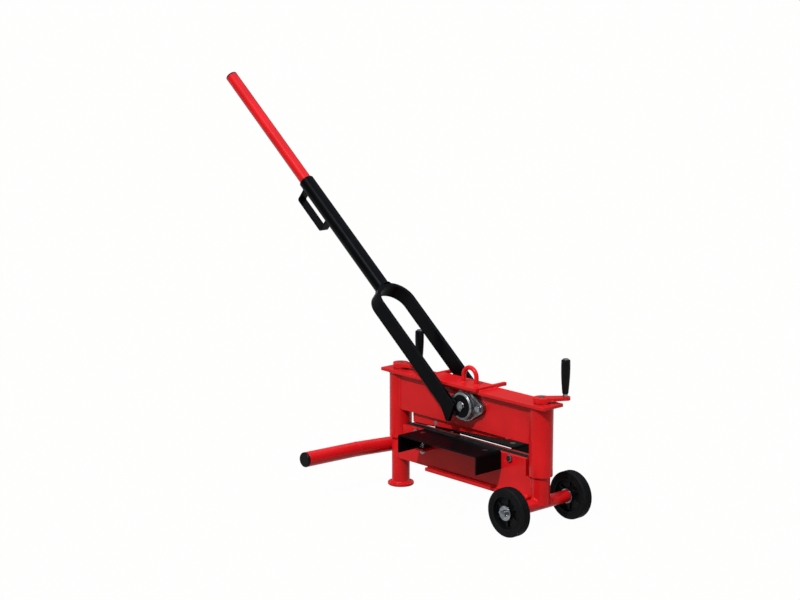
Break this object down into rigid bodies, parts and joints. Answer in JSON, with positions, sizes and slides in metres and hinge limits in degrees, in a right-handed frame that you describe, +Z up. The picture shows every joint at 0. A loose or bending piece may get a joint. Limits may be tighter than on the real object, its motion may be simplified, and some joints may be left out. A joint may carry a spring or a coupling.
{
  "type": "masonry block splitter",
  "caption": "Hand-lever masonry block splitter: a forked lever turns an eccentric that presses a tilting blade beam onto stone, on a wheeled frame with height cranks and spring tables.",
  "frame": {"origin": "middle of the foot flange's underside, on the floor", "axes": "+X from the left post towards the wheels, -Y is the handle side and front, +Z up"},
  "size_m": [1.3106, 0.4373, 1.0641],
  "materials": {
    "red_paint": "glossy",
    "black_paint": "satin",
    "zinc": "zinc plated",
    "cast_zinc": "cast, silver",
    "bright_steel": "turned",
    "blade_steel": "black scale",
    "bronze": "turned",
    "black_rubber": "matt",
    "black_plastic": "satin"
  },
  "bodies": {
    "base": {"left_post": "red_paint", "foot_flange": "red_paint", "right_post": "red_paint", "axle_tube": "red_paint", "lower_front_plate": "red_paint", "lower_rear_plate": "red_paint", "bottom_plate": "red_paint", "lower_blade": "blade_steel", "lower_blade_bolts": "zinc", "spindle_nuts": "bright_steel", "handle_stub": "red_paint", "handle_tube": "red_paint", "handle_cap": "black_plastic", "axle_rod": "bright_steel", "axle_washers": "zinc", "split_pins": "zinc", "table_brackets": "red_paint", "front_table_springs": "zinc", "rear_table_springs": "zinc"},
    "front_wheel": {"front_tyre": "black_rubber", "front_wheel_hub": "black_plastic"},
    "rear_wheel": {"rear_tyre": "black_rubber", "rear_wheel_hub": "black_plastic"},
    "upper_frame": {"left_sleeve": "red_paint", "right_sleeve": "red_paint", "top_plate": "red_paint", "upper_front_plate": "red_paint", "upper_rear_plate": "red_paint", "bridge_plate": "red_paint", "lever_stops": "red_paint", "lifting_eye": "red_paint", "bearing_housings": "cast_zinc", "shaft_bearings": "bronze", "bearing_bolts": "zinc", "guide_blocks": "black_paint", "thrust_washers": "zinc"},
    "lever": {"eccentric_shaft": "bright_steel", "hub_discs": "black_paint", "lever_fork": "black_paint", "lever_tube": "black_paint", "strap_grip": "black_paint", "hub_fasteners": "zinc"},
    "extension": {"extension_bar": "red_paint", "extension_plug": "black_plastic"},
    "yoke": {"yoke_bush": "bronze"},
    "beam": {"blade_beam": "red_paint", "upper_blade": "blade_steel", "upper_blade_bolts": "zinc"},
    "left_crank": {"left_crank_arm": "red_paint", "left_spindle": "bright_steel", "left_grip_stud": "zinc"},
    "right_crank": {"right_crank_arm": "red_paint", "right_spindle": "bright_steel", "right_grip_stud": "zinc"},
    "left_hand_grip": {"left_grip": "black_plastic"},
    "right_hand_grip": {"right_grip": "black_plastic"},
    "front_table": {"front_table_plate": "black_paint", "front_table_bolts": "zinc"},
    "rear_table": {"rear_table_plate": "black_paint", "rear_table_bolts": "zinc"}
  },
  "joints": [
    {"name": "front_wheel_spin", "type": "hinge", "parent": "base", "child": "front_wheel", "pos_m": [0.52, -0.1115, 0.0625], "axis": [0, 1, 0], "continuous": true},
    {"name": "rear_wheel_spin", "type": "hinge", "parent": "base", "child": "rear_wheel", "pos_m": [0.52, 0.1115, 0.0625], "axis": [0, 1, 0], "continuous": true},
    {"name": "upper_frame_height", "type": "slide", "parent": "base", "child": "upper_frame", "axis": [0, 0, 1], "range_m": [0, 0.105]},
    {"name": "lever_swing", "type": "hinge", "parent": "upper_frame", "child": "lever", "pos_m": [0.282, 0, 0.277], "axis": [0, 1, 0], "range_deg": [0, 92]},
    {"name": "extension_slide", "type": "slide", "parent": "lever", "child": "extension", "axis": [-0.7771, 0, 0.6293], "range_m": [-0.3, 0]},
    {"name": "yoke_lift", "type": "slide", "parent": "upper_frame", "child": "yoke", "axis": [0, 0, 1], "range_m": [0, 0.0101]},
    {"name": "beam_tilt", "type": "hinge", "parent": "yoke", "child": "beam", "pos_m": [0.27607, 0, 0.27196], "axis": [0, 1, 0], "range_deg": [0, 6.4]},
    {"name": "left_crank_turn", "type": "hinge", "parent": "upper_frame", "child": "left_crank", "pos_m": [0, 0, 0.33], "axis": [0, 0, 1], "range_deg": [-45, 20]},
    {"name": "right_crank_turn", "type": "hinge", "parent": "upper_frame", "child": "right_crank", "pos_m": [0.52, 0, 0.33], "axis": [0, 0, 1], "range_deg": [0, 9450]},
    {"name": "left_grip_spin", "type": "hinge", "parent": "left_crank", "child": "left_hand_grip", "pos_m": [0.05846, 0.0135, 0.387], "axis": [0, 0, 1], "continuous": true},
    {"name": "right_grip_spin", "type": "hinge", "parent": "right_crank", "child": "right_hand_grip", "pos_m": [0.55268, 0.05032, 0.387], "axis": [0, 0, 1], "continuous": true},
    {"name": "front_table_sink", "type": "slide", "parent": "base", "child": "front_table", "axis": [0, 0, 1], "range_m": [-0.012, 0], "stiffness_N_per_m": 6000, "springref_m": 0.004, "deforming": ["front_table_springs"]},
    {"name": "rear_table_sink", "type": "slide", "parent": "base", "child": "rear_table", "axis": [0, 0, 1], "range_m": [-0.012, 0], "stiffness_N_per_m": 6000, "springref_m": 0.004, "deforming": ["rear_table_springs"]}
  ],
  "couplings": [
    {"joint": "yoke_lift", "follows": "lever_swing", "m_per_rad": 0.0062719},
    {"joint": "right_crank_turn", "follows": "upper_frame_height", "rad_per_m": 1570.8}
  ]
}
